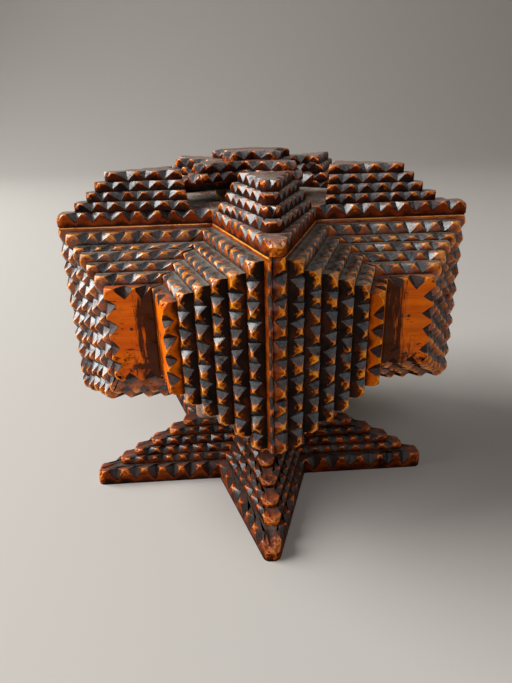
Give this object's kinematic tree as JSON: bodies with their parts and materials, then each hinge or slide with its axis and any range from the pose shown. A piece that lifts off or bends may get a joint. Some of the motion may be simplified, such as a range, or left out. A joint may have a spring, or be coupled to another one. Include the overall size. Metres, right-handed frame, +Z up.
{
  "type": "lidded star box",
  "caption": "Star-shaped wooden box on a stepped star foot, with a lift-off lid and stacks of boards cut into rows of points all over.",
  "frame": {"origin": "on the table under the middle of the box, in the plane the foot stands on", "axes": "+Z up, -Y towards the box's front tip, +X to the right as seen from the front"},
  "size_m": [0.1924, 0.1956, 0.1713],
  "materials": {
    "carved_wood": "old dark stain, worn on the points",
    "panel_wood": "bare amber varnish",
    "lid_wood": "old dark stain, dusty",
    "foot_wood": "old red-brown stain, dusty",
    "neck_wood": "bare",
    "inner_wood": "plain",
    "brad_steel": "dull dark"
  },
  "bodies": {
    "box": {"foot_base": "foot_wood", "foot_board_2": "foot_wood", "foot_board_3": "foot_wood", "foot_board_4": "foot_wood", "foot_board_5": "foot_wood", "foot_board_6": "foot_wood", "neck_lower": "neck_wood", "neck_middle": "neck_wood", "neck_upper": "neck_wood", "flare_lower": "foot_wood", "flare_middle": "foot_wood", "flare_upper": "foot_wood", "floor_board": "inner_wood", "wall_front_a": "carved_wood", "wall_front_b": "carved_wood", "wall_right_a": "carved_wood", "wall_right_b": "carved_wood", "wall_back_right_a": "carved_wood", "wall_back_right_b": "carved_wood", "wall_back_left_a": "carved_wood", "wall_back_left_b": "carved_wood", "wall_left_a": "carved_wood", "wall_left_b": "carved_wood", "stack_front_a": "carved_wood", "stack_front_b": "carved_wood", "stack_right_a": "carved_wood", "stack_right_b": "carved_wood", "stack_back_right_a": "carved_wood", "stack_back_right_b": "carved_wood", "stack_back_left_a": "carved_wood", "stack_back_left_b": "carved_wood", "stack_left_a": "carved_wood", "stack_left_b": "carved_wood", "panel_front_a": "panel_wood", "panel_front_b": "panel_wood", "panel_right_a": "panel_wood", "panel_right_b": "panel_wood", "panel_back_right_a": "panel_wood", "panel_back_right_b": "panel_wood", "panel_back_left_a": "panel_wood", "panel_back_left_b": "panel_wood", "panel_left_a": "panel_wood", "panel_left_b": "panel_wood", "brads": "brad_steel"},
    "lid": {"lid_board": "lid_wood", "lid_locator": "inner_wood", "lid_stack_front": "lid_wood", "lid_stack_right": "lid_wood", "lid_stack_back_right": "lid_wood", "lid_stack_back_left": "lid_wood", "lid_stack_left": "lid_wood", "grip_spacer": "inner_wood", "grip_riser": "inner_wood", "grip_lower_star": "lid_wood", "grip_middle_star": "lid_wood", "grip_top_star": "lid_wood"}
  },
  "joints": [
    {"name": "lid_lift", "type": "slide", "parent": "box", "child": "lid", "axis": [0, 0, 1], "range_m": [0, 0.06]}
  ]
}
